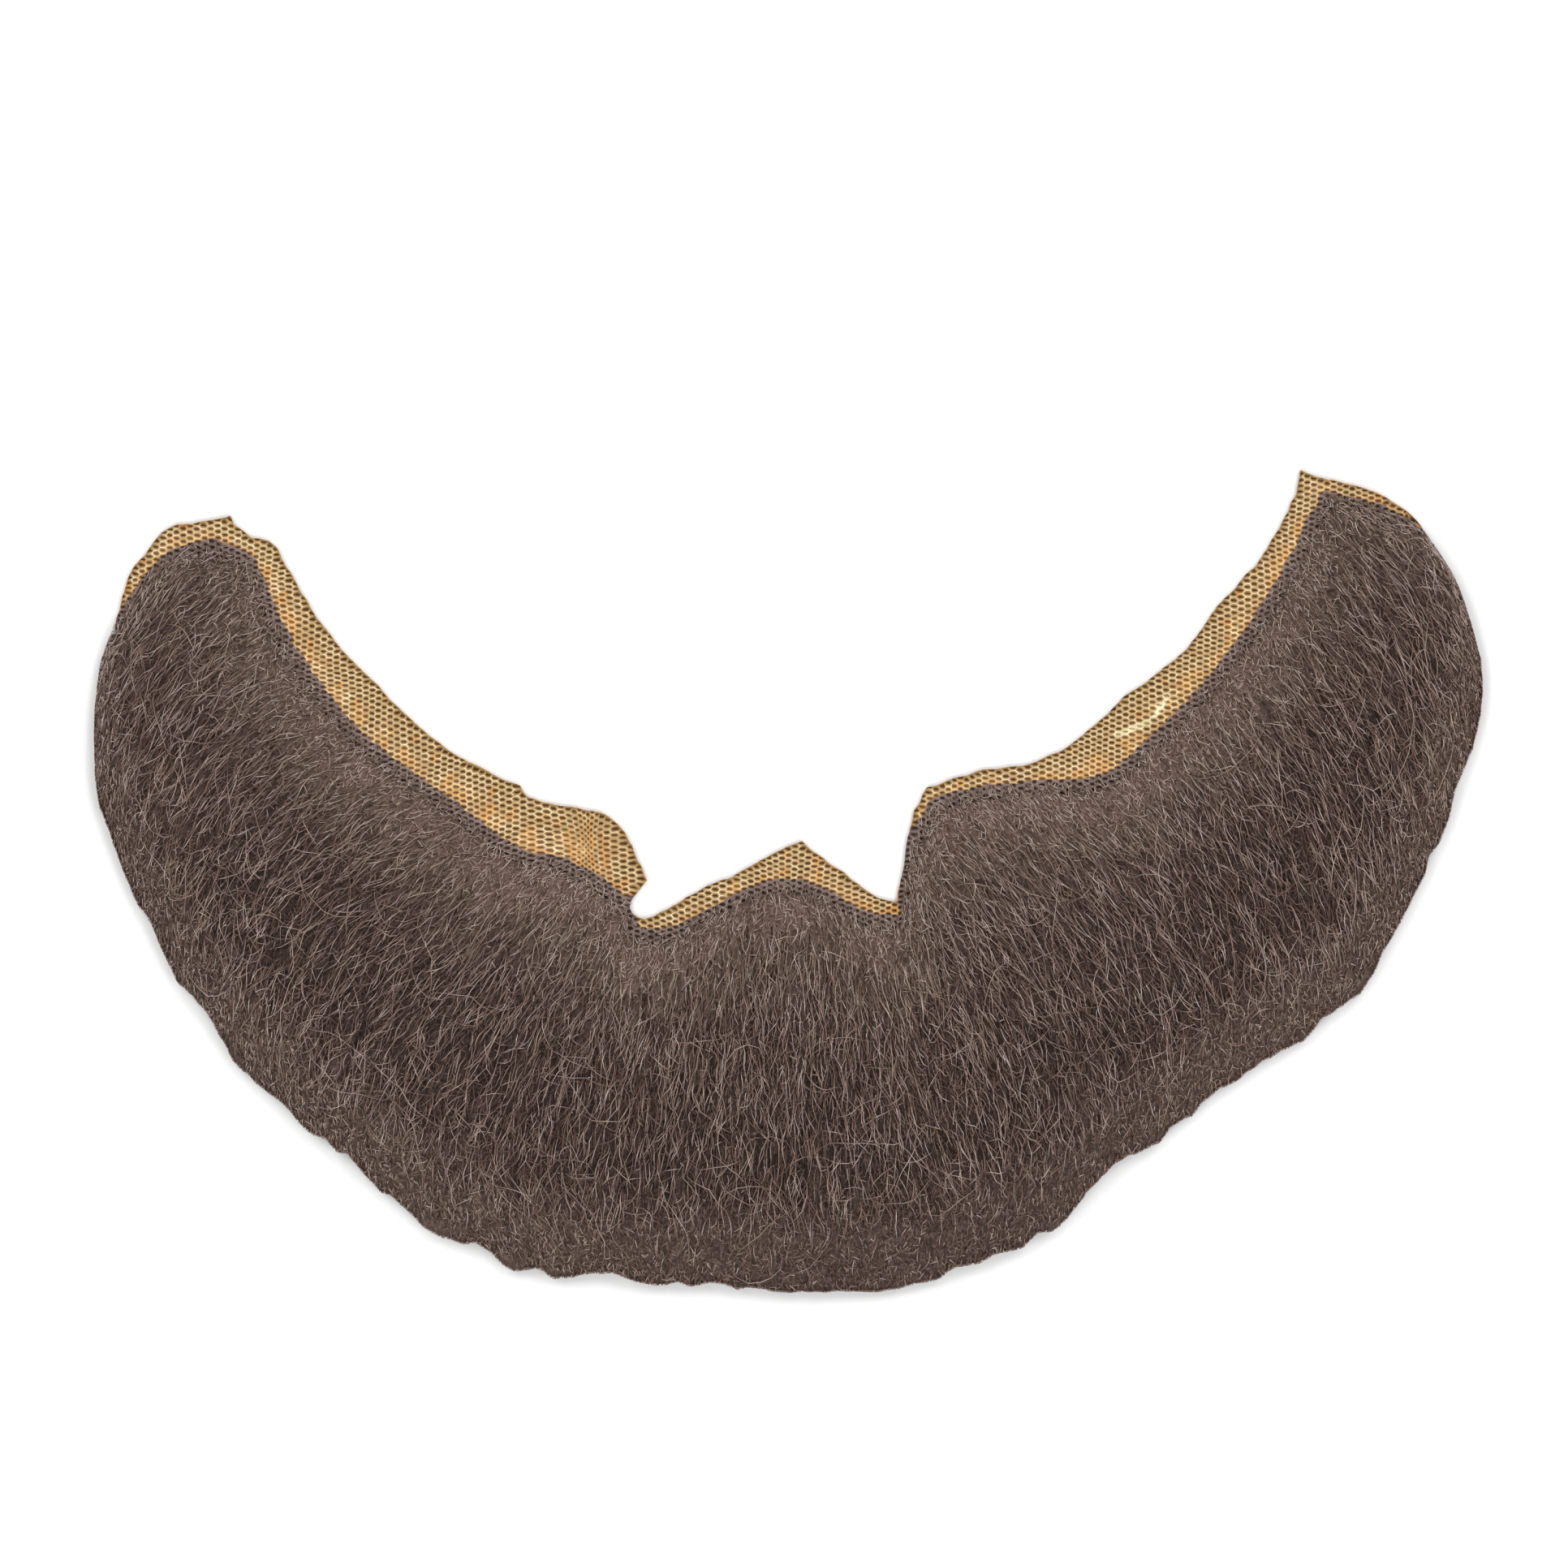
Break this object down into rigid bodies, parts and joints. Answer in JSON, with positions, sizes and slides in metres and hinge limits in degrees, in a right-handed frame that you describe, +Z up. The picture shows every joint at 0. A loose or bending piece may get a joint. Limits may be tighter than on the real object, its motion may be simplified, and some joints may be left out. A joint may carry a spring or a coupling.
{
  "type": "fake beard",
  "caption": "Crescent-shaped false beard laid flat: dark brown wavy hair knotted to a tan hexagonal lace net, with a bare lace rim cut round the mouth and up to both sideburns.",
  "frame": {"origin": "on the plane the beard lies on, under the middle of its bounding box", "axes": "+Z up out of the flat net through the hair, +Y from the chin's hair ends towards the sideburn tips, +X to the right as the hair side is seen"},
  "size_m": [0.3002, 0.178, 0.0149],
  "materials": {
    "lace_net": "matt knotted thread",
    "hair_coat": "soft low sheen"
  },
  "bodies": {
    "root": {"lace_net": "lace_net", "hair_coat": "hair_coat"}
  },
  "joints": []
}
